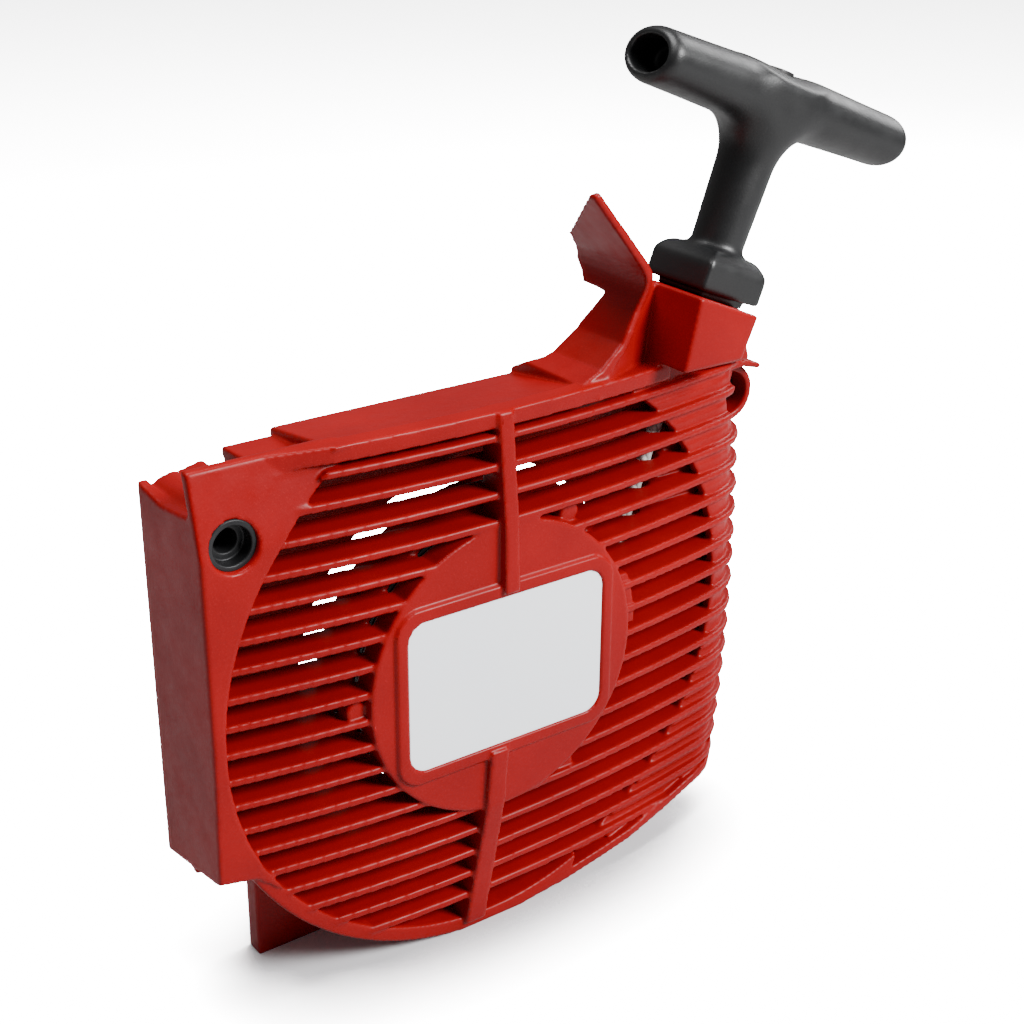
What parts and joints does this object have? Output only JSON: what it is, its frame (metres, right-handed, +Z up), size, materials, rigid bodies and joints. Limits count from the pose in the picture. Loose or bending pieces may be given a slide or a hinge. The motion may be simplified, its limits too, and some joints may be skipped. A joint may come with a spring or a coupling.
{
  "type": "recoil starter",
  "caption": "Pull-rope recoil starter: louvred fan housing with hub disc, blank label, rope tower, spring-wound pulley and T-shaped handle.",
  "frame": {"origin": "crankshaft axis where it crosses the plane that bolts to the crankcase", "axes": "+Y along the crankshaft towards the engine, +Z up, -Y the louvred front"},
  "size_m": [0.2058, 0.036, 0.22],
  "materials": {
    "red_plastic": "semi-gloss moulded, fine speckle",
    "label_white": "smooth satin",
    "black_steel": "blackened",
    "brass": "turned",
    "dark_plastic": "moulded, glass filled",
    "zinc_steel": "zinc plated",
    "spring_steel": "blued strip",
    "bronze": "sintered",
    "guide_plastic": "satin",
    "rope": "braided",
    "black_grip": "fine grain",
    "black_plug": "satin"
  },
  "bodies": {
    "starter_housing": {"housing": "red_plastic", "label_plate": "label_white", "lug_sleeve_left": "black_steel", "lug_sleeve_right": "black_steel", "post_insert": "brass", "spring_cassette": "dark_plastic", "cassette_screws": "zinc_steel", "recoil_spring": "spring_steel", "post_washer": "zinc_steel", "post_screw": "zinc_steel", "rope_guide": "guide_plastic"},
    "rope_pulley": {"pulley": "dark_plastic", "pulley_bushing": "bronze", "drive_cup": "zinc_steel", "cup_rivets": "zinc_steel", "rope_coil": "rope", "drum_knot": "rope"},
    "pull_rope": {"rope_lead": "rope", "handle_knot": "rope", "knot_washer": "zinc_steel"},
    "pull_handle": {"handle_grip": "black_grip", "handle_plug": "black_plug"}
  },
  "joints": [
    {"name": "handle_pull", "type": "slide", "parent": "starter_housing", "child": "pull_rope", "axis": [0.3746, 0, 0.9272], "range_m": [0, 0.8], "stiffness_N_per_m": 10, "springref_m": -0.6},
    {"name": "handle_swivel", "type": "hinge", "parent": "pull_rope", "child": "pull_handle", "pos_m": [0.0793, -0.0195, 0.10817], "axis": [0.3746, 0, 0.9272], "continuous": true},
    {"name": "pulley_spin", "type": "hinge", "parent": "starter_housing", "child": "rope_pulley", "pos_m": [0, 0, 0], "axis": [0, -1, 0], "range_deg": [0, 1400]}
  ],
  "couplings": [
    {"joint": "pulley_spin", "follows": "handle_pull", "rad_per_m": 30.303}
  ]
}
